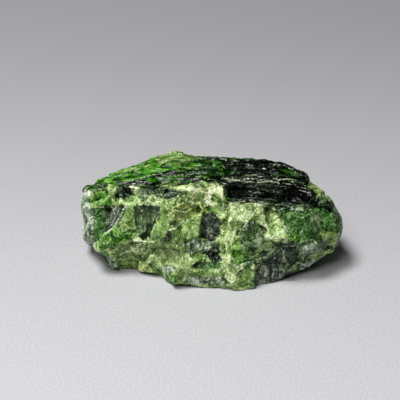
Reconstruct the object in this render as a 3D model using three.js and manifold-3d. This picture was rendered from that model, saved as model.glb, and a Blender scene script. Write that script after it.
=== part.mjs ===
// Chrome diopside: one rough, broken lump of a green silicate mineral, lying on a small flat spot.
// A granular, many-faceted front carries a cap of thin parallel cleavage splinters that step up to a ridge.
// Millimetres, +Z up, +X along the lump, +Y to its back. The origin is the middle of the footprint.

import * as THREE from "three";
import { ConvexGeometry } from "three/addons/geometries/ConvexGeometry.js";
import { mergeVertices } from "three/addons/utils/BufferGeometryUtils.js";
import Module from "manifold-3d";

// Driving dimensions.
const LENGTH = 42;
const FLAT_SPOT_LEVEL = 0.2;
const LONGEST_EDGE = 2.0;
// Flat chips of the broken skin: how wide one is, how steeply it tilts, how far it steps up or down,
// and the row of random numbers that it takes.
const CHIPS = [
  { size: 6.4, slope: 0.17, step: 0.07, channel: 20 },
  { size: 2.9, slope: 0.12, step: 0.08, channel: 40 },
];
const SAME_POINT = 1e-4;
const STONE_COLOUR = new THREE.Color(0.13, 0.27, 0.07);

const wasm = await Module();
wasm.setup();

// Cross-sections of the body from its left tip to its right tip.
// Each ring starts at the front foot, climbs the front to the brow, crosses the top and comes down the back.
const BODY_SECTIONS = [
  { x: -20.9, ring: [[11.2, 3], [10.2, 5.6], [9.7, 9], [10, 11.2], [11, 12.5], [12.3, 12.8],
    [13.5, 12.2], [14.8, 10.6], [15.4, 8.6], [15.4, 6.4], [14.6, 3.8], [13, 2.6]] },
  { x: -19.1, ring: [[9.2, 1.5], [7.8, 3.6], [7, 7.5], [7.6, 11], [9, 13], [11, 13.6],
    [13, 12.9], [15.6, 11], [17.2, 8.6], [17.2, 5.2], [15.6, 2], [12.6, 0.7]] },
  { x: -17.3, ring: [[7, 0.6], [5.7, 2.6], [6.4, 7], [7.2, 11], [8.6, 13.6], [10.5, 14.2],
    [12.3, 13.6], [15.6, 11.8], [18.4, 9.2], [18.4, 5.2], [16.6, 1.6], [12, 0]] },
  { x: -13.9, ring: [[5.4, 0.4], [4.4, 2.4], [4.6, 7], [5.8, 11.2], [7.8, 13.9], [10.3, 14.4],
    [13, 14], [16.4, 12.4], [19.4, 10], [20.2, 6], [18.2, 2.2], [13, 0]] },
  { x: -10.2, ring: [[5, 0.6], [3.6, 2.6], [4, 6.6], [5.2, 11], [7.4, 13.6], [10, 14.5],
    [14, 15], [17.3, 13.2], [20.2, 10.4], [21.2, 6], [18.8, 2.4], [13, 0.1]] },
  { x: -7.9, ring: [[4.4, 0.4], [3, 2.4], [3, 6.4], [4.6, 11], [7.1, 13.7], [10.1, 14.7],
    [14.6, 15.8], [17.6, 13.9], [20.4, 10.8], [21.5, 6], [19.2, 2.3], [13, -0.3]] },
  { x: -6.8, ring: [[1.6, 0.2], [1.1, 2], [2.8, 6.2], [4.2, 11], [7, 13.7], [10.2, 15.0],
    [15, 16.4], [17.8, 14.2], [20.6, 11], [21.6, 6], [19.4, 2.2], [13, -0.4]] },
  { x: -1.8, ring: [[0.6, 0.2], [0.2, 2.4], [2, 6.2], [3.6, 11], [6.4, 13.9], [10.2, 15.0],
    [14.6, 15.9], [18, 13.6], [21, 10], [22, 5.6], [19.2, 2.2], [13, -0.4]] },
  { x: 2.8, ring: [[0.3, 0.1], [0, 2.6], [1.4, 6.6], [3.4, 10.8], [6.4, 12.6], [10, 14.1],
    [14.6, 15.8], [18.2, 13.4], [21.2, 9.6], [21.8, 5.2], [19, 2.2], [13, -0.4]] },
  { x: 6.3, ring: [[0.2, 0], [0.1, 2.4], [1.6, 6.4], [3.6, 10.2], [6.4, 12], [10, 14.0],
    [14.4, 15.7], [18, 13.2], [21, 9.6], [21.4, 5], [18.4, 2.2], [13, -0.4]] },
  { x: 7.7, ring: [[2.2, 0], [2, 2.6], [2.4, 6], [3.6, 9.8], [6.3, 11.8], [9.8, 14.4],
    [14, 15.5], [17.6, 13], [20.6, 9.2], [21, 5], [18, 2.3], [13, -0.3]] },
  { x: 12.3, ring: [[4.2, 0.2], [2.8, 2.4], [2.8, 6.2], [4.2, 9.4], [6.4, 11.6], [9.6, 13.6],
    [13.2, 14.5], [16.6, 12.2], [19.6, 8.8], [19.8, 5], [16.8, 2.6], [11, 0]] },
  { x: 16.3, ring: [[6.2, 0.7], [4.2, 2.9], [3.6, 6.2], [4.8, 9.2], [7, 11.2], [9.4, 12.5],
    [12, 12.7], [14.8, 11.2], [17.2, 8.4], [17.2, 5.4], [14.8, 2.8], [10.5, 0.6]] },
  { x: 19.2, ring: [[7.4, 1.9], [5.6, 3.8], [5.1, 6.6], [6, 8.8], [7.6, 10.3], [9.2, 11],
    [10.8, 10.6], [13, 9.4], [14.8, 8], [14.6, 6], [13, 3.6], [10.4, 1.7]] },
  { x: 20.9, ring: [[8.6, 3], [7.6, 4.4], [7, 6.2], [7.4, 7.2], [8.2, 8.1], [9.2, 8.2],
    [10, 7.8], [11, 7.3], [11.8, 6.6], [11.6, 5.4], [10.9, 4.2], [9.8, 3.1]] },
];

// Cleavage splinters of the cap, from the brow back to the ridge. front is the [y, z] of the front edge at
// its middle, back and drop are how far its two ends lie behind and below that, reach is how far the
// blade goes back and rise how steeply its top climbs on the way.
const SPLINTERS = [
  { from: -16.9, to: -3.0, front: [7.7, 14.5], back: [1.1, -0.5], drop: [0.9, 0], reach: 3.6, rise: 0.16 },
  { from: -17.9, to: -0.6, front: [9.2, 15.3], back: [0.8, -0.4], drop: [1.5, 0.1], reach: 3.2, rise: 0.14 },
  { from: -17.0, to: 2.0, front: [10.7, 16.0], back: [0.7, 0.2], drop: [2.1, 0.4], reach: 3.0, rise: 0.1 },
  { from: -15.4, to: 3.4, front: [12.1, 16.5], back: [0.3, 0.4], drop: [3.0, 0.6], reach: 2.8, rise: 0 },
  { from: -13.2, to: 1.2, front: [13.3, 17.1], back: [0.2, 0.3], drop: [3.0, 0.8], reach: 2.4, rise: -0.3 },
  { from: -10.2, to: -1.2, front: [14.3, 17.3], back: [0.1, 0.2], drop: [2.4, 1.2], reach: 1.9, rise: -0.55 },
  { from: 1.4, to: 15.9, front: [7.5, 13.5], back: [-0.1, 1.2], drop: [0.1, 1.3], reach: 3.6, rise: 0.3 },
  { from: 0.6, to: 17.0, front: [9.3, 14.9], back: [0, 1.1], drop: [0.1, 2.4], reach: 3.4, rise: 0.16 },
  { from: 2.6, to: 16.2, front: [11.0, 15.5], back: [0, 0.8], drop: [0.1, 1.8], reach: 3.0, rise: 0.08 },
  { from: 0.2, to: 14.8, front: [12.5, 16.1], back: [0.1, 0.3], drop: [0.2, 1.3], reach: 2.6, rise: -0.1 },
  { from: 1.8, to: 9.8, front: [13.8, 16.6], back: [0.2, 0.1], drop: [0.2, 0.5], reach: 2.0, rise: -0.5 },
];
const SPLINTER = {
  stations: 12,
  thickness: 1.15,
  // How much of the full thickness is left at the two ends.
  thinnest: 0.12,
  // How far the front edge, its height and the places of the stations wander.
  wander: { front: 0.7, height: 0.22, along: 0.5, thickness: 0.4 },
  // The front edge is bevelled below and above, and the heel is buried in the cap.
  bevel: { low: 0.25, high: 0.2, nose: 0.35 },
  heelDepth: 1.4,
};

// Blocks between cleavage planes: those that stand out of the body, and the places that others left.
// size is half of each side, and turn is degrees about X, Y and Z.
const LUMPS = [
  { at: [-1.2, 7.4, 13.2], size: [3.0, 2.0, 1.7], turn: [-10, 4, 8] },
  { at: [-4.8, 4.9, 9.6], size: [3.0, 2.0, 3.8], turn: [-16, 20, -10] },
  { at: [-14.3, 6.6, 8.2], size: [2.4, 1.9, 4.8], turn: [-12, 28, 14] },
  { at: [-10.5, 6.8, 12.7], size: [2.2, 1.5, 0.9], turn: [-10, -8, 5] },
  { at: [6.4, 4.4, 10.4], size: [4.6, 2.0, 2.2], turn: [-34, 12, 4] },
  { at: [4.6, 1.6, 3.9], size: [2.3, 1.5, 4.2], turn: [-8, -9, 0] },
  { at: [-3.2, 1.7, 2.0], size: [3.8, 1.4, 1.7], turn: [-6, 5, 3] },
  { at: [-14.4, 6.1, 3.4], size: [2.3, 1.5, 2.2], turn: [-4, 26, 20] },
  { at: [-10.3, 5.1, 2.9], size: [2.0, 1.4, 1.8], turn: [5, -8, -12] },
  { at: [13.8, 4.9, 8.4], size: [2.9, 1.9, 2.5], turn: [-22, 14, 20] },
  { at: [16.9, 6.8, 6.0], size: [2.3, 2.0, 1.9], turn: [-6, 20, 32] },
  { at: [-18.9, 11.4, 7.8], size: [1.2, 2.3, 3.2], turn: [0, 6, 8] },
  { at: [-6.0, 19.4, 7.6], size: [4.6, 1.6, 3.4], turn: [16, 18, -6] },
  { at: [7.6, 18.8, 6.2], size: [4.0, 1.6, 3.0], turn: [12, -22, 10] },
  { at: [-13.6, 17.0, 6.0], size: [2.8, 2.0, 2.6], turn: [12, 26, -24] },
  { at: [1.4, 18.4, 11.2], size: [3.4, 1.5, 1.8], turn: [36, 14, 6] },
];
const GAPS = [
  { at: [-17.5, 5.6, 9.6], size: [1.5, 1.5, 3.0], turn: [-10, 28, -24] },
  { at: [-10.5, 3.6, 9.6], size: [1.8, 1.3, 2.5], turn: [-14, 16, 10] },
  { at: [0.1, 2.4, 9.8], size: [1.7, 1.6, 1.8], turn: [-14, 2, -6] },
  { at: [6.4, 1.6, 8.9], size: [1.6, 1.3, 1.9], turn: [-20, 12, 8] },
  { at: [-1.1, 0.8, 6.5], size: [3.2, 1.0, 1.0], turn: [-8, -3, 2] },
  { at: [10.4, 0.7, 3.0], size: [2.4, 1.8, 4.2], turn: [2, 24, 12] },
  { at: [-12.4, 6.6, 13.6], size: [2.4, 1.7, 0.5], turn: [14, -4, 6] },
  { at: [-6.6, 6.9, 14.1], size: [1.8, 1.6, 0.5], turn: [12, 3, -8] },
  { at: [0.6, 8.6, 14.9], size: [1.8, 1.4, 0.5], turn: [14, 2, 2] },
  { at: [9.4, 7.2, 12.6], size: [4.6, 1.3, 0.45], turn: [16, 2, 3] },
  { at: [-10.6, 19.6, 12.2], size: [3.2, 1.4, 2.0], turn: [38, -12, -10] },
  { at: [12.6, 18.6, 4.4], size: [2.6, 1.8, 2.6], turn: [-4, 16, 24] },
  { at: [0.4, 22.0, 4.4], size: [2.6, 1.4, 2.4], turn: [-10, -14, 6] },
  { at: [9.8, 18.6, 11.6], size: [2.8, 1.4, 1.8], turn: [40, 12, 10] },
];
const BLOCK_RAGGEDNESS = 0.28;
const BLOCK_CHANNEL = 60;

// A repeatable random number from 0 to 1 for a whole-number place and a channel.
function hash(i, j, k, channel) {
  let h = Math.imul(i, 374761393) ^ Math.imul(j, 668265263);
  h ^= Math.imul(k, 2147483647) ^ Math.imul(channel, 1274126177);
  h = Math.imul(h ^ (h >>> 13), 1103515245);
  h = Math.imul(h ^ (h >>> 15), 2246822519);
  return ((h ^ (h >>> 16)) >>> 0) / 4294967296;
}

// Makes a geometry a solid that can be joined and cut.
function solidOf(geometry) {
  const bare = geometry.clone();
  bare.deleteAttribute("normal");
  bare.deleteAttribute("uv");
  const merged = mergeVertices(bare, SAME_POINT);
  return new wasm.Manifold(
    new wasm.Mesh({
      numProp: 3,
      vertProperties: merged.attributes.position.array,
      triVerts: new Uint32Array(merged.index.array),
    }),
  );
}

// A closed skin through rings of [y, z] points at rising x, each end closed by a fan to its middle.
function loft(sections) {
  const around = sections[0].ring.length;
  const points = sections.flatMap(({ x, ring }) => ring.map(([y, z]) => [x, y, z]));
  const faces = [];
  for (let s = 0; s + 1 < sections.length; s++) {
    for (let i = 0; i < around; i++) {
      const next = (i + 1) % around;
      const [a, b] = [s * around + i, s * around + next];
      const [c, d] = [a + around, b + around];
      const span = (p, q) => Math.hypot(...points[p].map((v, k) => v - points[q][k]));
      if (span(a, d) < span(b, c)) faces.push([a, c, d], [a, d, b]);
      else faces.push([a, c, b], [b, c, d]);
    }
  }
  for (const [s, forward] of [[0, false], [sections.length - 1, true]]) {
    const ring = points.slice(s * around, (s + 1) * around);
    const mean = [0, 1, 2].map((k) => ring.reduce((sum, point) => sum + point[k], 0) / around);
    const middle = points.push(mean) - 1;
    for (let i = 0; i < around; i++) {
      const [a, b] = [s * around + i, s * around + ((i + 1) % around)];
      faces.push(forward ? [middle, b, a] : [middle, a, b]);
    }
  }
  const geometry = new THREE.BufferGeometry();
  geometry.setAttribute("position", new THREE.Float32BufferAttribute(points.flat(), 3));
  geometry.setIndex(faces.flat());
  return geometry;
}

// One cleavage splinter: a thin blade along X whose front edge steps out of the cap and whose ends thin out.
function splinter({ from, to, front, back, drop, reach, rise }, number) {
  const { stations, thickness, thinnest, wander, bevel, heelDepth } = SPLINTER;
  const either = (s, channel) => hash(s, number, 0, channel) - 0.5;
  const sections = [];
  for (let s = 0; s <= stations; s++) {
    const t = s / stations;
    const end = t < 0.5 ? 0 : 1;
    const away = (2 * t - 1) ** 2;
    const full = Math.max(thinnest, (1 - away ** 1.5) ** 0.7);
    const inside = s > 0 && s < stations;
    const x = from + (to - from) * t + (inside ? wander.along * either(s, 4) : 0);
    const y = front[0] + back[end] * away + wander.front * either(s, 1);
    const z = front[1] - drop[end] * away + wander.height * either(s, 2);
    const thick = thickness * full * (1 + wander.thickness * either(s, 3));
    const far = reach * full;
    const top = z + rise * far;
    sections.push({
      x,
      ring: [
        [y + bevel.low, z - thick],
        [y, z - bevel.nose * thick],
        [y + bevel.high, z],
        [y + far, top],
        [y + far, top - heelDepth * thick],
      ],
    });
  }
  return solidOf(loft(sections));
}

// One block: a box with each corner pushed in or out, turned and put in its place.
function block({ at, size, turn }, number) {
  const corners = [];
  for (const i of [-1, 1]) {
    for (const j of [-1, 1]) {
      for (const k of [-1, 1]) {
        const pushed = [i, j, k].map((side, n) => {
          const push = 2 * hash(i, j, k, BLOCK_CHANNEL + 3 * number + n) - 1;
          return side * size[n] * (1 + BLOCK_RAGGEDNESS * push);
        });
        corners.push(new THREE.Vector3(...pushed));
      }
    }
  }
  const geometry = new ConvexGeometry(corners);
  const [x, y, z] = turn.map(THREE.MathUtils.degToRad);
  geometry.applyMatrix4(new THREE.Matrix4().makeRotationFromEuler(new THREE.Euler(x, y, z)));
  geometry.translate(...at);
  return solidOf(geometry);
}

// The triangles of a solid, with every edge halved until none is longer than LONGEST_EDGE.
function refined(solid) {
  const { numProp, vertProperties, triVerts } = solid.getMesh();
  const points = [];
  for (let i = 0; i < vertProperties.length; i += numProp) {
    points.push(new THREE.Vector3(...vertProperties.slice(i, i + 3)));
  }
  let faces = [];
  for (let i = 0; i < triVerts.length; i += 3) faces.push([...triVerts.slice(i, i + 3)]);
  const middles = new Map();
  const middle = (a, b) => {
    const key = a < b ? `${a},${b}` : `${b},${a}`;
    if (!middles.has(key)) middles.set(key, points.push(points[a].clone().lerp(points[b], 0.5)) - 1);
    return middles.get(key);
  };
  for (let split = true; split; ) {
    split = false;
    const next = [];
    for (const [a, b, c] of faces) {
      const sides = [[a, b, c], [b, c, a], [c, a, b]];
      const lengths = sides.map(([p, q]) => points[p].distanceTo(points[q]));
      const longest = lengths.indexOf(Math.max(...lengths));
      if (lengths[longest] <= LONGEST_EDGE) {
        next.push([a, b, c]);
        continue;
      }
      const [p, q, r] = sides[longest];
      const m = middle(p, q);
      next.push([p, m, r], [m, q, r]);
      split = true;
    }
    faces = next;
  }
  return { points, faces };
}

// How far a broken surface stands out at a point: tilted flat chips, each in a cell of its own.
function chips(point, { size, slope, step, channel }) {
  const [x, y, z] = [point.x / size, point.y / size, point.z / size];
  const [i, j, k] = [Math.floor(x), Math.floor(y), Math.floor(z)];
  let nearest = Infinity;
  let height = 0;
  for (let di = -1; di <= 1; di++) {
    for (let dj = -1; dj <= 1; dj++) {
      for (let dk = -1; dk <= 1; dk++) {
        const cell = [i + di, j + dj, k + dk];
        const at = cell.map((v, n) => v + hash(...cell, channel + n));
        const away = [x - at[0], y - at[1], z - at[2]];
        const distance = Math.hypot(...away);
        if (distance >= nearest) continue;
        nearest = distance;
        const lean = (n) => hash(...cell, channel + 3 + n) - 0.5;
        const tilt = away.reduce((sum, v, n) => sum + v * lean(n), 0);
        height = size * (2 * slope * tilt + step * (hash(...cell, channel + 6) - 0.5));
      }
    }
  }
  return height;
}

// Moves each vertex of a fine skin along its normal, so that the flat faces break into chips.
// Where the faces round a vertex turn away from each other, as along a blade's edge, it stays nearly still.
function broken({ points, faces }) {
  const outward = points.map(() => new THREE.Vector3());
  const around = points.map(() => 0);
  for (const [a, b, c] of faces) {
    const side = points[b].clone().sub(points[a]).cross(points[c].clone().sub(points[a]));
    for (const corner of [a, b, c]) {
      outward[corner].add(side);
      around[corner] += side.length();
    }
  }
  const moved = points.map((point, n) => {
    const flatness = outward[n].length() / around[n];
    const height = CHIPS.reduce((sum, sort) => sum + chips(point, sort), 0);
    return point.clone().addScaledVector(outward[n].normalize(), flatness ** 3 * height);
  });
  const geometry = new THREE.BufferGeometry();
  geometry.setAttribute("position", new THREE.Float32BufferAttribute(moved.flatMap((p) => p.toArray()), 3));
  geometry.setIndex(faces.flat());
  return solidOf(geometry);
}

// The largest piece of a solid, without the specks and pinholes that are left where blades only just touch.
function largestPiece(solid) {
  return solid.decompose().reduce((best, piece) => (piece.volume() > best.volume() ? piece : best));
}

// The stone: body and lumps joined, pits cut out, the skin broken, splinters laid on, and the foot cut flat.
function stone() {
  let body = solidOf(loft(BODY_SECTIONS));
  for (const [number, lump] of LUMPS.entries()) body = body.add(block(lump, number));
  for (const [number, gap] of GAPS.entries()) body = body.subtract(block(gap, LUMPS.length + number));
  let whole = broken(refined(largestPiece(body)));
  for (const [number, blade] of SPLINTERS.entries()) whole = whole.add(splinter(blade, number));
  const depth = LENGTH / 2;
  const floor = new THREE.BoxGeometry(2 * LENGTH, 2 * LENGTH, depth);
  floor.translate(0, 0, FLAT_SPOT_LEVEL - depth / 2);
  return largestPiece(whole.subtract(solidOf(floor)));
}

// The stone's triangles at its full length, standing over the middle of its footprint.
function placed(solid) {
  const { min, max } = solid.boundingBox();
  const scale = LENGTH / (max[0] - min[0]);
  const middle = [(min[0] + max[0]) / 2, (min[1] + max[1]) / 2, min[2]];
  const { numProp, vertProperties, triVerts } = solid.getMesh();
  const places = [];
  for (let i = 0; i < vertProperties.length; i += numProp) {
    for (let n = 0; n < 3; n++) places.push((vertProperties[i + n] - middle[n]) * scale);
  }
  const geometry = new THREE.BufferGeometry();
  geometry.setAttribute("position", new THREE.Float32BufferAttribute(places, 3));
  geometry.setIndex([...triVerts]);
  geometry.computeVertexNormals();
  return geometry;
}

const material = new THREE.MeshStandardMaterial({ color: STONE_COLOUR, roughness: 0.45, metalness: 0 });
const mesh = new THREE.Mesh(placed(stone()), material);
mesh.name = "diopside";
const specimen = new THREE.Group();
specimen.add(mesh);
export default specimen;
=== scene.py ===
# Chrome diopside: one rough, broken lump of green mineral on a pale matt surface, seen from a little above.
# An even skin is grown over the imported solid. Its named faces are drawn flat, and it is split into plates
# and blades and crushed. One material reads named areas from the skin.
# Lengths are in millimetres until they reach Blender, and picture points are the photograph's pixels.
import itertools
import math

import bmesh
import bpy
import numpy as np
from mathutils import Euler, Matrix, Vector


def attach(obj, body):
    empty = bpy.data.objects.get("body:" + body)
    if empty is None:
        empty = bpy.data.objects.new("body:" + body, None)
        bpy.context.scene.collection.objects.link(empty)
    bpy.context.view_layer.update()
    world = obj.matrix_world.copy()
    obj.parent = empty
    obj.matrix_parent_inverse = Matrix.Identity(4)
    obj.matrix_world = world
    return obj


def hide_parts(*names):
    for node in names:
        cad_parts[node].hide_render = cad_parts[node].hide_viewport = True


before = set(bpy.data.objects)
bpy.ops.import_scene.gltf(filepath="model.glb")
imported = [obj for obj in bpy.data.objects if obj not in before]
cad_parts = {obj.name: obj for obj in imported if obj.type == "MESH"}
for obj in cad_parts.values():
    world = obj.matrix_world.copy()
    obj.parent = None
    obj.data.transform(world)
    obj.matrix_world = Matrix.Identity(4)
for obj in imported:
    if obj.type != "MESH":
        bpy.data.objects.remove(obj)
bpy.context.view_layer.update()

MM = 0.001
SCREEN_GAMMA = 2.2

# The camera: its height angle and distance, its lens and sensor, and where the stone's middle falls.
ELEVATION = math.radians(28)
EYE_DISTANCE = 269
LENS = 150
SENSOR = 36
PICTURE = 400
PIXEL = EYE_DISTANCE * SENSOR / LENS / PICTURE
STONE_MIDDLE = np.array([0, 0, 8.0])
MIDDLE_OFF_CENTRE = (11, 12)
TO_EYE = np.array([0, -math.cos(ELEVATION), math.sin(ELEVATION)])
ACROSS = np.array([1.0, 0, 0])
UPWARD = np.array([0, math.sin(ELEVATION), math.cos(ELEVATION)])
AIM = STONE_MIDDLE - ACROSS * MIDDLE_OFF_CENTRE[0] * PIXEL + UPWARD * MIDDLE_OFF_CENTRE[1] * PIXEL
EYE = AIM + TO_EYE * EYE_DISTANCE
NEAREST = 10
FARTHEST = 10000

# The floor, the room's even light and its two lamps.
FLOOR_WIDTH = 4000
ROOM_COLOUR = (0.95, 0.97, 1.0, 1)
ROOM_STRENGTH = 0.045
WINDOW = {"place": (-135, -60, 422), "width": 175, "power": 2.2}
FILL = {"place": (-100, -260, 360), "width": 200, "power": 0.8}

# The form: the skin's grain, and how many rounds of softening it takes before and after it is covered anew.
SKIN_GRAIN = 0.194
FORM_ROUNDS = 10
SKIN_ROUNDS = 2

# Pits of the hidden sides are filled where they are deeper than this in the softened form.
CAVE_ROUNDS = 80
CAVE_DEPTH = 0.25

# How far the left end's foot hovers over the floor in the solid, by its place along the stone. The foot
# fades into the stone over this depth and this height.
FOOT_PLACES = [-19, -17.5, -16, -14, -12, -10]
FOOT_HOVER = [2.6, 1.8, 1.2, 0.9, 0.5, 0]
FOOT_DEPTH = (-5, 0)
FOOT_HEIGHT = 3.5

# Relief of the skin. Sizes run along a crystal, across it and through its layers. Steps have a height on
# the body, and one that is added on the cap. The grain is higher on the body, and where it is sugary. Along
# the cap, lengths are shortened before it is split, so that its plates come out longer.
CRYSTAL_SIZE = 4.6
COARSE_FACETS = {"size": 4.2, "height": 0.46}
FINE_FACETS = {"size": 2.1, "height": 0.22}
PLATE = (6.0, 2.4, 0.85)
PLATE_STEP = (0.12, 0.5)
PLATE_TILT = 0.12
BLADE = (2.8, 1.0, 0.34)
BLADE_STEP = (0.06, 0.2)
LIP_HEIGHT = 0.1
GRAIN_SIZE = 0.62
CRUMB_SIZE = 0.36
GRAIN_HEIGHT = 0.03
BODY_GRAIN = 0.01
SUGAR_GRAIN = 0.012
CAP_SHORTENING = 0.6
FLOOR_FADE = (0.05, 1.2)

# How much calmer the relief is on the flat faces of the front, and the facets on the cap.
FLAT_CALM = 0.55
CAP_CALM = 0.6

# Relief of these heights counts as a full edge, and as a full form, where the finish reads them: it makes
# ridges paler, partly as pale crushed edges and partly as a painted highlight, and it paints shade into
# hollows and light onto what stands out.
RIDGE_LIGHT_HEIGHT = 0.06
RELIEF_LIGHT_HEIGHT = 0.5

# The height of the bedding along the stone, and how much it sinks toward the back.
BEND_PLACES = [-21, -6, 6, 12, 21]
BEND_HEIGHTS = [-3.4, 0.4, 0.2, -0.5, -3.4]
BACKWARD_SINK = 0.18

# Tones of the mineral, each an area on the skin and a colour in the material.
TONES = ("black", "slate", "shade", "deep", "bright", "vivid", "leaf", "olive", "crust", "cream", "silver")

# Tones that the cells of the hidden sides take in turn, and the sizes of those cells.
HIDDEN_BODY = ("crust", "leaf", "deep", "shade", "leaf", "crust", "bright", "leaf", "shade", "deep")
HIDDEN_CAP = ("black", "vivid", "deep", "black", "vivid", "deep", "leaf")
BODY_CELL = 5.5
CAP_CELL = (14, 7, 1.2)

# Borders that fade: how far a point is turned to the camera, how far out in an area or a lip it is, how far
# above the brow in picture points, and how high up the cap begins on the hidden sides.
FACING_RIM = (-0.15, 0.1)
AREA_RIM = (0.6, 1.4)
LIP_RIM = (0.3, 1.2)
BROW_RIM = (-1.5, 1.5)
CAP_RIM = (10.2, 11.4)

# Areas of the front, in picture points: tone, middle x and y, half width and height, turn in degrees.
AREAS = [
    ("leaf", 190, 235, 115, 62, 0),
    ("deep", 300, 224, 34, 20, -15),
    ("silver", 87, 215, 7, 34, 4),
    ("crust", 96, 253, 5, 12, 30),
    ("shade", 91, 200, 1.2, 14, 2),
    ("shade", 86, 222, 1.2, 16, 6),
    ("shade", 91, 238, 1.3, 10, 12),
    ("deep", 94, 184, 10, 5, 10),
    ("bright", 100, 199, 10, 8, 0),
    ("leaf", 99, 204, 9, 3, 5),
    ("shade", 107, 219, 12, 13, -15),
    ("deep", 99, 232, 6, 10, -10),
    ("silver", 110, 219, 12, 1.6, 60),
    ("leaf", 113, 190, 5, 7, 0),
    ("black", 124, 193, 9, 8, 0),
    ("cream", 131, 187, 9, 2.4, -20),
    ("leaf", 129, 214, 9, 11, -20),
    ("bright", 121, 233, 13, 12, 30),
    ("deep", 132, 222, 6, 12, -20),
    ("shade", 147, 214, 12, 8, 0),
    ("deep", 143, 229, 7, 10, -15),
    ("silver", 145, 231, 4, 6, -20),
    ("crust", 123, 214, 13, 1.5, 67),
    ("shade", 148, 191, 10, 5, 0),
    ("shade", 140, 194, 4, 5, -20),
    ("black", 168, 194, 12, 5, 8),
    ("crust", 148, 202, 11, 4, 8),
    ("leaf", 161, 215, 9, 14, -35),
    ("crust", 154, 221, 16, 1.3, 71),
    ("olive", 185, 211, 22, 9, 12),
    ("crust", 180, 215, 16, 1.4, 30),
    ("crust", 192, 192, 12, 8, 0),
    ("crust", 203, 197, 20, 9, -10),
    ("cream", 196, 189, 6, 2.5, 10),
    ("cream", 214, 189, 8, 5, -30),
    ("cream", 207, 198, 5, 8, 15),
    ("olive", 203, 190, 4, 3, 0),
    ("leaf", 219, 199, 6, 6, 0),
    ("shade", 199, 186, 5, 2, -5),
    ("leaf", 193, 199, 5, 2.5, 0),
    ("cream", 222, 191, 3, 8, -15),
    ("olive", 200, 209, 7, 5, 0),
    ("leaf", 191, 229, 11, 11, 0),
    ("shade", 166, 238, 10, 5, 10),
    ("crust", 174, 230, 9, 1.3, 8),
    ("crust", 152, 251, 26, 4, 12),
    ("cream", 133, 251, 11, 1.2, 18),
    ("cream", 139, 241, 8, 1.2, 0),
    ("olive", 170, 252, 12, 5, 0),
    ("shade", 212, 227, 10, 12, -10),
    ("shade", 203, 248, 18, 7, 0),
    ("silver", 200, 243, 14, 2.4, 0),
    ("silver", 206, 249, 11, 3, -10),
    ("black", 213, 257, 8, 5, -20),
    ("crust", 229, 234, 7, 18, 5),
    ("crust", 250, 212, 26, 9, -10),
    ("crust", 272, 228, 10, 14, -30),
    ("cream", 248, 212, 12, 2.2, 48),
    ("cream", 272, 217, 14, 1.6, -45),
    ("shade", 251, 230, 9, 8, 15),
    ("deep", 250, 245, 10, 9, 0),
    ("bright", 235, 245, 6, 6, 0),
    ("bright", 240, 257, 10, 6, 0),
    ("shade", 273, 252, 15, 7, 25),
    ("black", 271, 271, 18, 12, 10),
    ("black", 291, 247, 7, 7, 0),
    ("shade", 302, 206, 24, 6, -8),
    ("deep", 303, 226, 20, 12, -10),
    ("bright", 291, 237, 8, 4, 0),
    ("crust", 276, 239, 11, 2.4, 0),
    ("deep", 322, 208, 15, 10, 0),
    ("black", 314, 204, 10, 5, 10),
    ("black", 330, 206, 7, 5, -20),
    ("shade", 338, 214, 4, 10, 20),
    ("deep", 335, 224, 5, 14, 10),
    ("leaf", 329, 237, 9, 7, -20),
    ("shade", 313, 250, 16, 9, 20),
    ("silver", 308, 249, 7, 4, 30),
    ("leaf", 318, 257, 16, 4, 25),
    ("silver", 307, 264, 9, 3, 20),
    ("crust", 125, 252, 24, 9, -5),
    ("bright", 107, 248, 10, 12, 15),
    ("crust", 109, 250, 5, 3, -30),
    ("silver", 116, 263, 12, 5, -12),
    ("shade", 128, 269, 12, 2, -5),
    ("olive", 141, 266, 8, 7, 0),
    ("crust", 157, 261, 12, 6, 0),
    ("silver", 168, 269, 7, 4, 0),
    ("leaf", 204, 270, 25, 7, -4),
    ("deep", 208, 266, 14, 4, -4),
    ("crust", 184, 264, 12, 4, 0),
    ("silver", 202, 281, 22, 4, -4),
    ("bright", 174, 278, 10, 5, -14),
    ("leaf", 182, 280, 7, 3, -10),
    ("crust", 230, 268, 9, 17, 12),
    ("deep", 247, 266, 5, 11, -35),
    ("deep", 250, 281, 8, 6, 20),
    ("leaf", 241, 284, 6, 4, 0),
    ("crust", 246, 272, 14, 1.2, 38),
]

# The cap of splinters: the brow that it ends at, as picture points, and its own areas over the front's.
BROW = [
    (80, 181), (97, 182), (115, 185), (160, 187), (183, 185), (200, 181), (222, 184), (226, 201),
    (262, 203), (285, 206), (305, 203), (318, 196), (330, 196), (345, 200),
]
CAP_AREAS = [
    ("vivid", 140, 170, 60, 16, 15),
    ("vivid", 120, 172, 26, 8, 18),
    ("deep", 152, 178, 26, 1.6, 10),
    ("black", 168, 172, 20, 1.2, 8),
    ("vivid", 185, 162, 26, 8, 0),
    ("leaf", 174, 158, 20, 6, 4),
    ("leaf", 136, 170, 20, 1.2, 15),
    ("deep", 200, 172, 26, 6, 0),
    ("leaf", 188, 168, 14, 1.6, 10),
    ("black", 138, 184, 22, 3, 0),
    ("vivid", 162, 180, 18, 3, 6),
    ("olive", 172, 184, 11, 2.6, 6),
    ("black", 196, 180, 16, 2.2, -4),
    ("black", 268, 182, 56, 27, -6),
    ("black", 240, 166, 26, 10, -4),
    ("deep", 244, 158, 18, 2, -4),
    ("deep", 226, 170, 10, 3, -6),
    ("black", 214, 160, 12, 2, -5),
    ("deep", 213, 167, 16, 5, -28),
    ("vivid", 203, 173, 12, 3, -12),
    ("deep", 288, 172, 12, 2, -20),
    ("silver", 262, 181, 40, 0.6, 1),
    ("silver", 250, 176, 16, 0.5, 3),
    ("black", 268, 193, 44, 10, -3),
    ("crust", 315, 189, 8, 5, -35),
]

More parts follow.
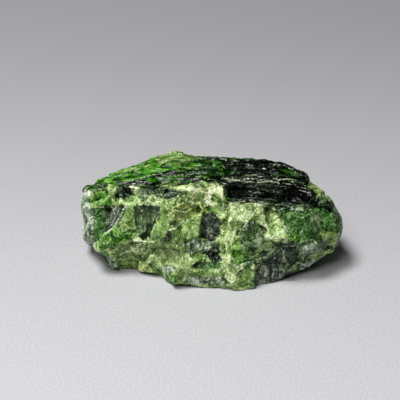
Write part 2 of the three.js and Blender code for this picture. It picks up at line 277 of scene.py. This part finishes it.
# Flat cleavage faces of the front: tone, how far it is raised in millimetres, and its corners in picture
# points, clockwise.
FACETS = [
    ("bright", 0, [(92, 200), (111, 199), (113, 206), (94, 207)]),
    ("deep", 0, [(94, 208), (105, 208), (106, 231), (96, 237)]),
    ("slate", -0.1, [(105, 208), (127, 204), (117, 224), (106, 231)]),
    ("leaf", 0.3, [(130, 201), (135, 208), (138, 229), (124, 232), (117, 225)]),
    ("bright", 0.1, [(116, 226), (124, 232), (129, 243), (112, 245), (101, 238)]),
    ("shade", -0.4, [
        (135, 206), (148, 205), (162, 206), (157, 222), (151, 236), (142, 241), (137, 229), (134, 216),
    ]),
    ("leaf", 0.2, [(163, 206), (173, 204), (169, 230), (163, 238), (153, 239), (154, 229)]),
    ("olive", 0.3, [(171, 207), (184, 202), (199, 206), (201, 213), (184, 220), (171, 222)]),
    ("leaf", 0.1, [(184, 221), (193, 217), (201, 219), (200, 237), (190, 241), (182, 239), (180, 230)]),
    ("slate", -0.2, [(203, 214), (213, 211), (221, 221), (219, 236), (211, 241), (201, 238)]),
    ("crust", 0.1, [(190, 189), (203, 187), (203, 197), (192, 201)]),
    ("shade", 1.3, [
        (248, 222), (258, 224), (264, 232), (264, 242), (259, 249), (246, 249), (240, 241), (240, 231),
    ]),
    ("bright", 0, [(230, 252), (244, 251), (247, 260), (238, 266), (229, 262)]),
    ("slate", 0, [(268, 256), (285, 245), (290, 250), (287, 262), (272, 262)]),
    ("slate", 0, [(261, 264), (287, 263), (284, 279), (267, 284), (254, 283)]),
    ("black", 0, [(287, 244), (297, 243), (300, 259), (291, 267), (288, 262)]),
    ("crust", 0, [(264, 206), (274, 207), (283, 219), (287, 238), (277, 240), (268, 224)]),
    ("crust", 0.1, [(229, 211), (244, 205), (261, 206), (257, 215), (247, 221), (235, 221)]),
    ("crust", 0, [(225, 223), (237, 223), (239, 240), (231, 248), (226, 240)]),
    ("crust", -0.1, [(148, 248), (182, 252), (198, 261), (190, 268), (160, 263)]),
    ("leaf", 0, [(107, 256), (124, 251), (140, 257), (136, 268), (120, 269)]),
    ("deep", 0, [(286, 222), (295, 214), (304, 217), (307, 226), (298, 233), (288, 231)]),
    ("shade", 0, [(306, 213), (318, 210), (324, 217), (321, 229), (311, 228)]),
    ("leaf", 0, [(236, 272), (250, 266), (255, 270), (248, 289), (238, 288)]),
]

# How wide the border of a flat face is, in picture points, and how far it takes its tone and its plane.
FACET_EDGE = 1.2
FACET_TONE = 0.72
FLATNESS = 0.85

# Corners at the brow that are worn round: middle x and y, half width and height, turn in degrees.
WORN_CORNERS = [(214, 190, 20, 12, 0), (313, 188, 12, 12, -40)]
WEAR_ROUNDS = 160
WEAR = 0.85

# A shoulder at the brow's right end that swells out a little: its area, and how far in millimetres.
SHOULDER = (316, 191, 8, 7, 0)
SHOULDER_SWELL = 0.4

# Thin fracture lips of the front, raised a little and painted white, partly their pale crushed edge and
# partly a painted highlight: half width and the points that each runs through.
LIPS = [
    (0.9, [(130, 200), (121, 214), (116, 225), (104, 236)]),
    (0.7, [(162, 206), (154, 229), (152, 239)]),
    (0.6, [(94, 207), (113, 207)]),
    (0.8, [(136, 206), (158, 205)]),
    (0.9, [(120, 255), (131, 251), (142, 245), (158, 242)]),
    (0.8, [(134, 240), (148, 242), (160, 240)]),
    (0.7, [(131, 189), (142, 196), (152, 193)]),
    (0.9, [(140, 205), (147, 200), (153, 205)]),
    (0.7, [(152, 199), (165, 195), (180, 193)]),
    (0.7, [(156, 204), (170, 199), (182, 196)]),
    (0.8, [(168, 215), (176, 210), (186, 212), (196, 208)]),
    (0.8, [(166, 231), (176, 229), (184, 221)]),
    (1.0, [(240, 233), (244, 226), (250, 219), (256, 212)]),
    (0.8, [(248, 226), (238, 216), (228, 212)]),
    (0.8, [(262, 232), (268, 222), (276, 216)]),
    (0.8, [(264, 240), (276, 236), (288, 230)]),
    (0.9, [(236, 268), (247, 262), (259, 258), (268, 256)]),
    (0.8, [(232, 282), (238, 272), (246, 264)]),
    (0.7, [(300, 241), (312, 239), (318, 246)]),
    (0.7, [(296, 262), (310, 266), (322, 260)]),
    (0.8, [(268, 257), (284, 246), (296, 242)]),
    (0.6, [(222, 180), (245, 178.5), (268, 180), (284, 183)]),
    (0.5, [(254, 183), (275, 182), (295, 185), (312, 190)]),
    (0.5, [(231, 204), (250, 201), (262, 203), (290, 206)]),
    (0.5, [(268, 164), (288, 168), (303, 175)]),
    (0.5, [(194, 158), (206, 158), (226, 160)]),
    (0.4, [(140, 178), (158, 174), (176, 176), (196, 173)]),
    (0.6, [(122, 184), (138, 181), (152, 183)]),
]


def linear(*levels):
    """A colour given in screen levels from 0 to 255, as the shader takes it."""
    return (*((level / 255) ** SCREEN_GAMMA for level in levels), 1.0)


# Random numbers and cells

def scatter(cells, channel):
    """A repeatable random number from 0 to 1 for each cell. The large numbers only stir the bits."""
    i, j, k = (cells[..., n].astype(np.uint32) for n in range(3))
    h = i * np.uint32(374761393) ^ j * np.uint32(668265263) ^ k * np.uint32(2147483647)
    h ^= np.uint32(channel * 1274126177 & 0xFFFFFFFF)
    h = (h ^ (h >> np.uint32(13))) * np.uint32(1103515245)
    h = (h ^ (h >> np.uint32(15))) * np.uint32(2246822519)
    return (h ^ (h >> np.uint32(16))) / 4294967296


def scatter_three(cells, channel):
    """Three random numbers for each cell, side by side."""
    return np.stack([scatter(cells, channel + n) for n in range(3)], axis=1)


def smooth_step(value, low, high):
    """Eases a number from 0 at low to 1 at high."""
    t = np.clip((value - low) / (high - low), 0, 1)
    return t * t * (3 - 2 * t)


def drift(places, size, channel):
    """Smooth noise from -1 to 1 that wanders over a length of size."""
    at = places / size
    home = np.floor(at).astype(np.int64)
    part = smooth_step(at - home, 0, 1)
    total = np.zeros(len(at))
    for corner in itertools.product((0, 1), repeat=3):
        share = np.prod(np.where(corner, part, 1 - part), axis=1)
        total += share * scatter(home + corner, channel)
    return 2 * total - 1


def drift_three(places, size, channel):
    """Three drifts side by side, to shift places by."""
    return np.stack([drift(places, size, channel + n) for n in range(3)], axis=1)


def chips(places, size, channel):
    """Flat chips, one to a cell: each place's height on its chip, its chip's step and tint, and its cell."""
    at = places / np.asarray(size, float)
    home = np.floor(at).astype(np.int64)
    nearest = np.full(len(at), np.inf)
    own_cell = home.copy()
    own_away = np.zeros_like(at)
    for shift in itertools.product((-1, 0, 1), repeat=3):
        cell = home + shift
        away = at - (cell + scatter_three(cell, channel))
        distance = np.linalg.norm(away, axis=1)
        closer = distance < nearest
        nearest[closer] = distance[closer]
        own_cell[closer] = cell[closer]
        own_away[closer] = away[closer]
    lean = scatter_three(own_cell, channel + 3) - 0.5
    tilt = (own_away * lean).sum(axis=1) * 2
    return tilt, scatter(own_cell, channel + 6) - 0.5, scatter(own_cell, channel + 7), own_cell


# Facets lie on a grid that is turned, so that none of them is square to the stone.
FACET_TURN = np.array(Euler((0.6, 0.9, 0.4)).to_matrix())


def facets(places, size, channel):
    """A continuous surface of flat facets, from -1 to 1: heights at a grid's corners, joined by planes."""
    at = places @ FACET_TURN / size
    corner = np.floor(at).astype(np.int64)
    part = at - corner
    order = np.argsort(-part, axis=1)
    part = np.take_along_axis(part, order, axis=1)
    rows = np.arange(len(places))
    total = (1 - part[:, 0]) * scatter(corner, channel)
    for n in range(3):
        corner[rows, order[:, n]] += 1
        following = part[:, n + 1] if n < 2 else 0
        total += (part[:, n] - following) * scatter(corner, channel)
    return 2 * total - 1


# The skin's mesh

def places_of(mesh):
    flat = np.empty(len(mesh.vertices) * 3, np.float32)
    mesh.vertices.foreach_get("co", flat)
    return flat.reshape(-1, 3).astype(float) / MM


def normals_of(mesh):
    flat = np.empty(len(mesh.vertices) * 3, np.float32)
    mesh.vertex_normals.foreach_get("vector", flat)
    return flat.reshape(-1, 3).astype(float)


def put(mesh, places):
    mesh.vertices.foreach_set("co", (places * MM).astype(np.float32).ravel())
    mesh.update()


def raised(mesh, places, rise):
    """Lifts the skin's points along its normals, and says where they lie then."""
    places = places + normals_of(mesh) * rise[:, None]
    put(mesh, places)
    return places


def softened(mesh, rounds):
    """Where the skin's points lie once every form smaller than a few grains is smoothed away."""
    form = bmesh.new()
    form.from_mesh(mesh)
    axes = {"use_axis_x": True, "use_axis_y": True, "use_axis_z": True}
    for _ in range(rounds):
        bmesh.ops.smooth_vert(form, verts=form.verts, factor=0.5, **axes)
    places = np.array([v.co for v in form.verts]) / MM
    form.free()
    return places


def standing_out(mesh, rounds):
    """How far each point stands out of the form that so many rounds of softening leave."""
    return ((places_of(mesh) - softened(mesh, rounds)) * normals_of(mesh)).sum(axis=1)


def without_crumbs(mesh):
    """Keeps the largest connected part of a mesh, and deletes the crumbs that thin edges leave beside it."""
    form = bmesh.new()
    form.from_mesh(mesh)
    unseen = set(form.verts)
    islands = []
    while unseen:
        island = []
        reached = [unseen.pop()]
        while reached:
            point = reached.pop()
            island.append(point)
            for edge in point.link_edges:
                other = edge.other_vert(point)
                if other in unseen:
                    unseen.remove(other)
                    reached.append(other)
        islands.append(island)
    islands.sort(key=len)
    crumbs = [point for island in islands[:-1] for point in island]
    bmesh.ops.delete(form, geom=crumbs, context="VERTS")
    form.to_mesh(mesh)
    form.free()


def fine_skin(node, name):
    """An even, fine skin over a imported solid, as a new piece."""
    form = bmesh.new()
    form.from_mesh(node.data)
    bmesh.ops.remove_doubles(form, verts=form.verts, dist=0.001 * MM)
    mesh = bpy.data.meshes.new(name)
    form.to_mesh(mesh)
    form.free()
    piece = bpy.data.objects.new(name, mesh)
    bpy.context.scene.collection.objects.link(piece)
    reskin(piece)
    return piece


def reskin(piece):
    """Covers a piece anew with even, fine faces, which closes its surface wherever it cuts itself."""
    remesh = piece.modifiers.new("skin", "REMESH")
    remesh.mode = "VOXEL"
    remesh.voxel_size = SKIN_GRAIN * MM
    fine = bpy.data.meshes.new_from_object(piece.evaluated_get(bpy.context.evaluated_depsgraph_get()))
    piece.modifiers.clear()
    without_crumbs(fine)
    piece.data = fine
    piece.data.name = piece.name


# Places and areas as the photograph shows them

def seen(places):
    """Where places on the stone show in the photograph, in pixels from its left and its top."""
    away = places - EYE
    enlarge = EYE_DISTANCE / PIXEL / -(away @ TO_EYE)
    return PICTURE / 2 + away @ ACROSS * enlarge, PICTURE / 2 - away @ UPWARD * enlarge


def ragged(line, places, *waves):
    """Picture places shaken by noise. Each wave has its reach in pixels, its size and its channel."""
    for reach, size, channel in waves:
        line = line + reach * drift(places, size, channel)
    return line


def facing_of(mesh):
    """How far each point of the skin is turned toward the camera, from 0 to 1."""
    return smooth_step(normals_of(mesh) @ TO_EYE, *FACING_RIM)


def area(x, y, middle_x, middle_y, half_width, half_height, turn):
    """How far inside one area each picture point is, from 0 outside to 1 inside."""
    a = math.radians(turn)
    right, up = x - middle_x, middle_y - y
    along = (right * math.cos(a) + up * math.sin(a)) / half_width
    over = (up * math.cos(a) - right * math.sin(a)) / half_height
    return 1 - smooth_step(np.hypot(along, over), *AREA_RIM)


def facet_covers(places, facing):
    """How far each place belongs to each flat face of the front."""
    x, y = seen(places)
    x = ragged(x, places, (1.6, 1.3, 550), (0.9, 0.5, 552))
    y = ragged(y, places, (1.6, 1.3, 551), (0.9, 0.5, 553))
    covers = []
    for _, _, corners in FACETS:
        inside = np.full(len(x), np.inf)
        for (x0, y0), (x1, y1) in zip(corners, corners[1:] + corners[:1]):
            depth = ((x1 - x0) * (y - y0) - (y1 - y0) * (x - x0)) / math.hypot(x1 - x0, y1 - y0)
            inside = np.minimum(inside, depth)
        covers.append(smooth_step(inside, -FACET_EDGE, FACET_EDGE) * facing)
    return covers


def lips_of(places, facing):
    """How near each place is to a fracture lip of the front, 1 on it."""
    x, y = seen(places)
    x = ragged(x, places, (1.2, 1.0, 560), (0.6, 0.4, 561))
    y = ragged(y, places, (1.2, 1.0, 562), (0.6, 0.4, 563))
    nearest = np.zeros(len(x))
    for half_width, points in LIPS:
        for (x0, y0), (x1, y1) in zip(points, points[1:]):
            way_x, way_y = x1 - x0, y1 - y0
            along = np.clip(((x - x0) * way_x + (y - y0) * way_y) / (way_x ** 2 + way_y ** 2), 0, 1)
            away = np.hypot(x - x0 - along * way_x, y - y0 - along * way_y)
            nearest = np.maximum(nearest, 1 - smooth_step(away / half_width, *LIP_RIM))
    return nearest * facing


def cap_of(places, facing):
    """Where the skin belongs to the cap of splinters: above the brow in front, and high up elsewhere."""
    x, y = seen(places)
    y = ragged(y, places, (1.2, 2.5, 530))
    brow = np.interp(x, *zip(*BROW))
    front = smooth_step(brow - y, *BROW_RIM)
    behind = smooth_step(places[:, 2] + drift(places, 4, 540), *CAP_RIM)
    return front * facing + behind * (1 - facing)


def lay(share, tone, cover):
    """Lays a tone over the others, as far as its cover goes."""
    for other in TONES:
        share[other] *= 1 - cover
    share[tone] += cover


def tones_of(places, facing, cap):
    """How much of each tone every point has. Where the photograph shows nothing, cells take turns."""
    wander = drift_three(places, 3, 700)
    _, _, pick_body, _ = chips(places + 1.2 * wander, BODY_CELL, 300)
    _, _, pick_cap, _ = chips(places + 0.8 * wander, CAP_CELL, 320)
    share = {tone: np.zeros(len(places)) for tone in TONES}
    for pick, names, part in ((pick_body, HIDDEN_BODY, 1 - cap), (pick_cap, HIDDEN_CAP, cap)):
        number = np.minimum((pick * len(names)).astype(int), len(names) - 1)
        for n, tone in enumerate(names):
            share[tone] += (number == n) * part
    x, y = seen(places)
    x = ragged(x, places, (2.4, 1.6, 510), (1.4, 0.7, 511))
    y = ragged(y, places, (1.8, 1.6, 520), (1.1, 0.7, 521))
    for areas, part in ((AREAS, 1 - cap), (CAP_AREAS, cap)):
        for tone, *where in areas:
            lay(share, tone, area(x, y, *where) * facing * part)
    for (tone, _, _), cover in zip(FACETS, facet_covers(places, facing)):
        lay(share, tone, FACET_TONE * cover)
    return share


# The stone's form

def flattened(places, facing):
    """The places, with every flat face of the front drawn along the line of sight onto its own plane."""
    x, y = seen(places)
    across = np.stack([x, y, np.ones(len(x))], axis=1)
    depth = places @ TO_EYE
    for (_, lift, _), cover in zip(FACETS, facet_covers(places, facing)):
        held = cover > 0.5
        plane = np.linalg.lstsq(across[held], depth[held], rcond=None)[0]
        change = (across @ plane + lift - depth) * cover * FLATNESS
        depth = depth + change
        places = places + change[:, None] * TO_EYE
    return places


def settled(places):
    """The places, with the left end's foot slid along the line of sight onto the floor."""
    hover = np.interp(places[:, 0], FOOT_PLACES, FOOT_HOVER)
    front = 1 - smooth_step(places[:, 1], *FOOT_DEPTH)
    low = 1 - smooth_step(places[:, 2], hover, hover + FOOT_HEIGHT)
    drop = hover * low * front
    return places - (drop / math.sin(ELEVATION))[:, None] * TO_EYE


def without_caves(mesh, facing):
    """Where the skin's points lie once the deep, narrow pits of the hidden sides are filled."""
    fill = np.clip(-standing_out(mesh, CAVE_ROUNDS) - CAVE_DEPTH, 0, None) * (1 - facing)
    return places_of(mesh) + normals_of(mesh) * fill[:, None]


def worn(mesh):
    """Where the skin's points lie once the corners that stand out of the brow are worn round."""
    places = places_of(mesh)
    x, y = seen(places)
    wear = np.max([area(x, y, *where) for where in WORN_CORNERS], axis=0) * WEAR
    return places + (softened(mesh, WEAR_ROUNDS) - places) * wear[:, None]


def shape_form(piece):
    put(piece.data, softened(piece.data, FORM_ROUNDS))
    facing = facing_of(piece.data)
    put(piece.data, settled(flattened(places_of(piece.data), facing)))
    put(piece.data, without_caves(piece.data, facing))
    put(piece.data, worn(piece.data))
    reskin(piece)
    put(piece.data, softened(piece.data, SKIN_ROUNDS))


# Crystals, plates, blades and grain

def layer_height(places):
    """The height of each place above the bedding, which climbs to the ridge and sinks to both ends."""
    return places[:, 2] + BACKWARD_SINK * places[:, 1] - np.interp(places[:, 0], BEND_PLACES, BEND_HEIGHTS)


def crystals(places):
    """Each place in its own crystal's directions: along it, across it, and through its cleavage layers."""
    at = (places + 1.2 * drift_three(places, 3, 610)) / CRYSTAL_SIZE
    _, _, _, cell = chips(at, 1, 600)
    round_about = 2 * math.pi * scatter(cell, 620)
    upward = math.pi * (scatter(cell, 621) - 0.5)
    level = np.cos(upward)
    along = np.stack([np.cos(round_about) * level, np.sin(round_about) * level, np.sin(upward)], axis=1)
    through = np.cross(along, scatter_three(cell, 630) - 0.5)
    through /= np.linalg.norm(through, axis=1)[:, None] + 1e-9
    across = np.cross(through, along)
    shift = 40 * scatter_three(cell, 640)
    return np.stack([(places * way).sum(axis=1) for way in (along, across, through)], axis=1) + shift


def own_directions(places, cap):
    """Each place along, across and through its layers, by the bedding in the cap and by crystals below."""
    bedding = np.stack([places[:, 0] * CAP_SHORTENING, places[:, 1], layer_height(places)], axis=1)
    return np.where((cap > 0.5)[:, None], bedding, crystals(places)) + 0.12 * drift_three(places, 1.5, 930)


def relief(places, own, cap, broken):
    """The height of facets, plates and blades on the skin, and the tint of each chip."""
    wandered = places + 0.7 * drift_three(places, 2.2, 900) + 0.22 * drift_three(places, 0.7, 910)
    rise = np.zeros(len(places))
    for channel, form in ((20, COARSE_FACETS), (21, FINE_FACETS)):
        rise += (1 - CAP_CALM * cap) * form["height"] * facets(wandered, form["size"], channel)
    tilt, step, plate_tint, _ = chips(own, PLATE, 60)
    rise += (PLATE_STEP[0] + PLATE_STEP[1] * cap) * step + PLATE_TILT * (1 - cap) * tilt
    _, step, blade_tint, _ = chips(own, BLADE, 80)
    rise += (BLADE_STEP[0] + BLADE_STEP[1] * cap) * step
    return rise * broken, (plate_tint + blade_tint - 1) / 2


def grain(places, cap, tone):
    """The height of the crushed grain, coarser where the mineral is sugary."""
    sugary = tone["crust"] + tone["cream"] + 0.6 * tone["olive"] + 0.5 * tone["silver"]
    height = GRAIN_HEIGHT + (1 - cap) * (BODY_GRAIN + SUGAR_GRAIN * sugary)
    return height * (facets(places, GRAIN_SIZE, 120) + 0.6 * drift(places, CRUMB_SIZE, 125))


def shape_stone(piece):
    shape_form(piece)
    mesh = piece.data
    places = places_of(mesh)
    facing = facing_of(mesh)
    flat = np.max(facet_covers(places, facing), axis=0)
    lips = lips_of(places, facing)
    cap = cap_of(places, facing)
    tone = tones_of(places, facing, cap)
    own = own_directions(places, cap)
    standing = smooth_step(places[:, 2], *FLOOR_FADE)
    broken = 1 - FLAT_CALM * flat

    shoulder = area(*seen(places), *SHOULDER) * facing * standing
    rise, tint = relief(places, own, cap, broken)
    rise += LIP_HEIGHT * lips + SHOULDER_SWELL * shoulder
    places = raised(mesh, places, rise * standing)
    places = raised(mesh, places, grain(places, cap, tone) * broken * standing)
    places[:, 2] = np.maximum(places[:, 2], 0)
    put(mesh, places)

    areas = {
        **tone,
        "cap": cap,
        "flat": flat,
        "lips": lips,
        # Painted light from the relief: edge makes ridges paler, partly pale crushed edge and partly painted
        # highlight; form paints shade into hollows and light onto bosses.
        "edge": np.clip(standing_out(mesh, 4) / RIDGE_LIGHT_HEIGHT, -0.4, 1),
        "form": np.clip(standing_out(mesh, 40) / RELIEF_LIGHT_HEIGHT, -1, 1),
        "tint": tint,
    }
    for name, value in areas.items():
        mesh.attributes.new(name, "FLOAT", "POINT").data.foreach_set("value", value.astype(np.float32))
    directions = mesh.attributes.new("own", "FLOAT_VECTOR", "POINT")
    directions.data.foreach_set("vector", own.astype(np.float32).ravel())


# Shader maths

class Field:
    """A number, colour or vector on its way through a finish. Arithmetic on it adds Math nodes."""

    def __init__(self, finish, socket):
        self.finish = finish
        self.socket = socket

    def math(self, operation, first, second):
        return self.finish.add("ShaderNodeMath", {"operation": operation}, {0: first, 1: second})

    def __add__(self, other):
        return self.math("ADD", self, other)

    def __radd__(self, other):
        return self.math("ADD", other, self)

    def __sub__(self, other):
        return self.math("SUBTRACT", self, other)

    def __rsub__(self, other):
        return self.math("SUBTRACT", other, self)

    def __mul__(self, other):
        return self.math("MULTIPLY", self, other)


class Finish:
    """One material, built node by node."""

    def __init__(self, name):
        self.material = bpy.data.materials.new(name)
        self.material.use_nodes = True
        self.tree = self.material.node_tree
        self.tree.nodes.clear()
        self.place = self.add("ShaderNodeTexCoord", out="Object")

    def add(self, kind, settings=None, inputs=None, out=0):
        node = self.tree.nodes.new(kind)
        for name, value in (settings or {}).items():
            setattr(node, name, value)
        for key, value in (inputs or {}).items():
            if isinstance(value, Field):
                self.tree.links.new(value.socket, node.inputs[key])
            else:
                node.inputs[key].default_value = value
        return Field(self, node.outputs[out])

    def area(self, name):
        return self.add("ShaderNodeAttribute", {"attribute_name": name}, out="Fac")

    def own_grid(self, *fineness):
        """The stone's own directions, with so many steps to a millimetre along, across and through."""
        own = self.add("ShaderNodeAttribute", {"attribute_name": "own"}, out="Vector")
        return self.add("ShaderNodeMapping", {}, {"Vector": own, "Scale": fineness})

    def noise(self, size, detail=3, rough=0.55):
        """Noise whose largest patches are about size millimetres wide."""
        inputs = {"Vector": self.place, "Scale": 1 / (size * MM), "Detail": detail, "Roughness": rough}
        return self.add("ShaderNodeTexNoise", {}, inputs)

    def streaks(self, grid):
        """Noise drawn out along a grid of the stone's own directions."""
        inputs = {"Vector": grid, "Scale": 1.0, "Detail": 3, "Roughness": 0.6}
        return self.add("ShaderNodeTexNoise", {}, inputs)

    def cells(self, grid, out="Distance", feature="F1"):
        """Splinters, one to a grid step: how far each point is from a middle or an edge, or a colour."""
        return self.add("ShaderNodeTexVoronoi", {"feature": feature}, {"Vector": grid, "Scale": 1.0}, out)

    def channel(self, colour, name):
        return self.add("ShaderNodeSeparateColor", {}, {0: colour}, out=name)

    def ramp(self, value, low, high, to_low=0.0, to_high=1.0):
        """Eases a number from one range to another."""
        inputs = {"Value": value, "From Min": low, "From Max": high, "To Min": to_low, "To Max": to_high}
        return self.add("ShaderNodeMapRange", {"interpolation_type": "SMOOTHSTEP"}, inputs)

    def between(self, share, first, second):
        """A number part of the way from one to another."""
        return self.add("ShaderNodeMix", {"data_type": "FLOAT"}, {0: share, 2: first, 3: second})

    def blend(self, share, first, second):
        """A colour part of the way from one to another."""
        return self.add("ShaderNodeMix", {"data_type": "RGBA"}, {0: share, 6: first, 7: second}, out=2)

    def close(self, **inputs):
        """Ends the finish with the shader that takes these inputs."""
        shader = self.add("ShaderNodeBsdfPrincipled", {}, inputs)
        output = self.tree.nodes.new("ShaderNodeOutputMaterial")
        self.tree.links.new(shader.socket, output.inputs["Surface"])
        return self.material


# Finishes

# Darkest, middle and palest colour of each tone, in screen levels.
PALETTE = {
    "black": ((2, 4, 2), (14, 22, 11), (66, 86, 56)),
    "slate": ((18, 24, 16), (66, 76, 62), (150, 160, 142)),
    "shade": ((22, 36, 16), (66, 88, 52), (142, 162, 122)),
    "deep": ((12, 34, 8), (46, 86, 30), (112, 148, 90)),
    "bright": ((14, 46, 6), (68, 118, 30), (148, 188, 100)),
    "vivid": ((12, 44, 2), (60, 122, 14), (140, 190, 84)),
    "leaf": ((54, 82, 32), (114, 146, 74), (186, 210, 142)),
    "olive": ((58, 82, 30), (132, 154, 80), (206, 216, 144)),
    "crust": ((72, 98, 44), (132, 156, 92), (216, 230, 176)),
    "cream": ((104, 124, 66), (200, 212, 152), (252, 254, 236)),
    "silver": ((44, 60, 38), (120, 140, 106), (214, 224, 204)),
}
# Painted highlight: the white of the glints that small cleavage faces throw.
GLINT_WHITE = linear(232, 238, 222)
# White of the fracture lips: partly their pale crushed edge, partly a painted highlight.
LIP_HIGHLIGHT = linear(222, 232, 200)


def paleness(f, mottle, grit, streak, crushed):
    """How pale each point is within its tone, about 0 to 1, with painted highlight on ridges and bosses and
    painted shade in hollows.
    """
    cap = f.area("cap")
    sugary = f.area("crust") + f.area("cream") + f.area("silver")
    texture = f.between(cap, grit * 0.5 + streak * 0.5, streak * 0.8 + grit * 0.2)
    contrast = (1.7 + sugary * 0.4 - cap * 0.4) * crushed
    sugar = (f.noise(0.2, 2) - 0.5) * (1.1 - cap * 0.5)
    shards = f.own_grid(0.5, 1.1, 1.9)
    shard = f.channel(f.cells(shards, "Color"), "Green") - 0.5
    seam = f.ramp(f.cells(shards, feature="DISTANCE_TO_EDGE"), 0.09, 0.0) * f.ramp(mottle, 0.4, 0.62)
    winding = f.noise(2.2, 4, 0.6) - 0.5
    vein = f.ramp(winding * winding, 0.0009, 0.0) * f.ramp(grit, 0.38, 0.58) * (1 - cap)
    pale = 0.42 + sugar - cap * 0.18 + (texture - 0.5) * contrast + (mottle - 0.5) * 0.9
    # Painted light: ridges paler (partly pale crushed edges, partly painted highlight), hollows given
    # painted shade and bosses painted light.
    pale = pale + (f.area("tint") * 0.5 + f.area("edge") * 0.3) * crushed + f.area("form") * 0.25
    return pale + shard * 0.45 + seam * (0.35 - cap * 0.3) + vein * 0.34


def tone_colour(f, tone, pale):
    """One tone's colour, from its darkest to its palest."""
    dark, middle, light = (linear(*levels) for levels in PALETTE[tone])
    low = f.blend(f.ramp(pale, 0.05, 0.5), dark, middle)
    return f.blend(f.ramp(pale, 0.5, 1.0), low, light)


def toned(f, pale, crushed):
    """Every tone's colour on its own areas, with ragged borders."""
    border = ((f.noise(1.1, 5, 0.65) - 0.5) * 1.1 + (f.noise(0.4, 2) - 0.5) * 0.9) * crushed
    colour = tone_colour(f, TONES[0], pale)
    for tone in TONES[1:]:
        share = f.ramp(f.area(tone) + border, 0.18, 0.82)
        colour = f.blend(share, colour, tone_colour(f, tone, pale))
    return colour


def with_painted_glints(f, colour, mottle):
    """Painted glints: small cleavage faces shown as short white dashes drawn out along the fibres, and
    fracture lips painted white, partly their pale crushed edge and partly a painted highlight.
    """
    dashes = f.own_grid(0.8, 3.6, 5.2)
    # Painted glints: sparse white dashes laid into the base colour.
    glint = f.ramp(f.cells(dashes), 0.42, 0.2)
    chance = f.channel(f.cells(dashes, "Color"), "Red") + (mottle - 0.5) * 0.6 - f.area("black") * 0.04
    strength = f.ramp(chance, 0.88, 0.98) * (0.85 - f.area("vivid") * 0.45)
    # The lips' white is partly their pale crushed edge and partly a painted highlight.
    lip = f.area("lips") * f.ramp(f.noise(0.4, 3), 0.44, 0.6)
    return f.blend(lip * 0.75, f.blend(glint * strength, colour, GLINT_WHITE), LIP_HIGHLIGHT)


def stone_finish():
    f = Finish("chrome_diopside")
    mottle = f.noise(1.1, 4)
    grit = f.noise(0.36, 3, 0.65)
    streak = f.streaks(f.own_grid(0.5, 1.3, 4.0)) * 0.5 + f.streaks(f.own_grid(0.16, 0.6, 2.2)) * 0.5
    crushed = 1 - f.area("flat") * 0.15
    pale = paleness(f, mottle, grit, streak, crushed)
    colour = with_painted_glints(f, toned(f, pale, crushed), mottle)
    bumps = {"Strength": 0.55, "Distance": 0.16 * MM, "Height": grit * 0.5 + streak}
    return f.close(**{
        "Base Color": colour,
        "Normal": f.add("ShaderNodeBump", {}, bumps, out="Normal"),
        "Roughness": f.ramp(grit + f.area("tint") * 0.4, 0.2, 0.8, 0.14, 0.4),
        "IOR": 1.5,
        "Specular IOR Level": 0.22,
        "Subsurface Weight": 0.15,
        "Subsurface Radius": (0.5, 1.0, 0.3),
        "Subsurface Scale": 0.3 * MM,
    })


def floor_finish():
    """Matt floor with a fine grain; painted light falloff makes it darker toward the back."""
    f = Finish("matt_board")
    depth = f.add("ShaderNodeSeparateXYZ", {}, {0: f.place}, out="Y")
    # Painted light falloff: the floor colour darkens toward the back.
    board_with_falloff = f.blend(f.ramp(depth, 0.11, -0.05), linear(154, 153, 157), linear(190, 190, 193))
    grain = f.ramp(f.noise(0.36, 2), 0.3, 0.7) * 0.26
    return f.close(**{"Base Color": f.blend(grain, board_with_falloff, linear(126, 124, 122)), "Roughness": 0.8})


# Floor, camera and light

def add_floor():
    bpy.ops.mesh.primitive_plane_add(size=FLOOR_WIDTH * MM)
    floor = bpy.context.object
    floor.name = "floor"
    floor.data.materials.append(floor_finish())


def add_camera():
    data = bpy.data.cameras.new("camera")
    data.lens = LENS
    data.sensor_width = SENSOR
    data.clip_start = NEAREST * MM
    data.clip_end = FARTHEST * MM
    camera = bpy.data.objects.new("camera", data)
    camera.location = Vector(EYE * MM)
    camera.rotation_euler = (math.pi / 2 - ELEVATION, 0, 0)
    bpy.context.scene.collection.objects.link(camera)
    bpy.context.scene.camera = camera


def add_light(name, place, width, power):
    """A round, soft light that looks at the stone's middle."""
    data = bpy.data.lights.new(name, "AREA")
    data.shape = "DISK"
    data.size = width * MM
    data.energy = power
    light = bpy.data.objects.new(name, data)
    light.location = Vector(place) * MM
    light.rotation_euler = (Vector(STONE_MIDDLE) - Vector(place)).to_track_quat("-Z", "Y").to_euler()
    bpy.context.scene.collection.objects.link(light)


def add_room():
    world = bpy.data.worlds.new("room")
    world.use_nodes = True
    background = world.node_tree.nodes["Background"]
    background.inputs["Color"].default_value = ROOM_COLOUR
    background.inputs["Strength"].default_value = ROOM_STRENGTH
    bpy.context.scene.world = world
    add_light("window", **WINDOW)
    add_light("fill", **FILL)
    bpy.context.scene.view_settings.view_transform = "Standard"


def add_stone():
    piece = fine_skin(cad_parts["diopside"], "rough_diopside")
    shape_stone(piece)
    piece.data.materials.append(stone_finish())
    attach(piece, "root")
    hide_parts("diopside")


add_camera()
add_room()
add_floor()
add_stone()
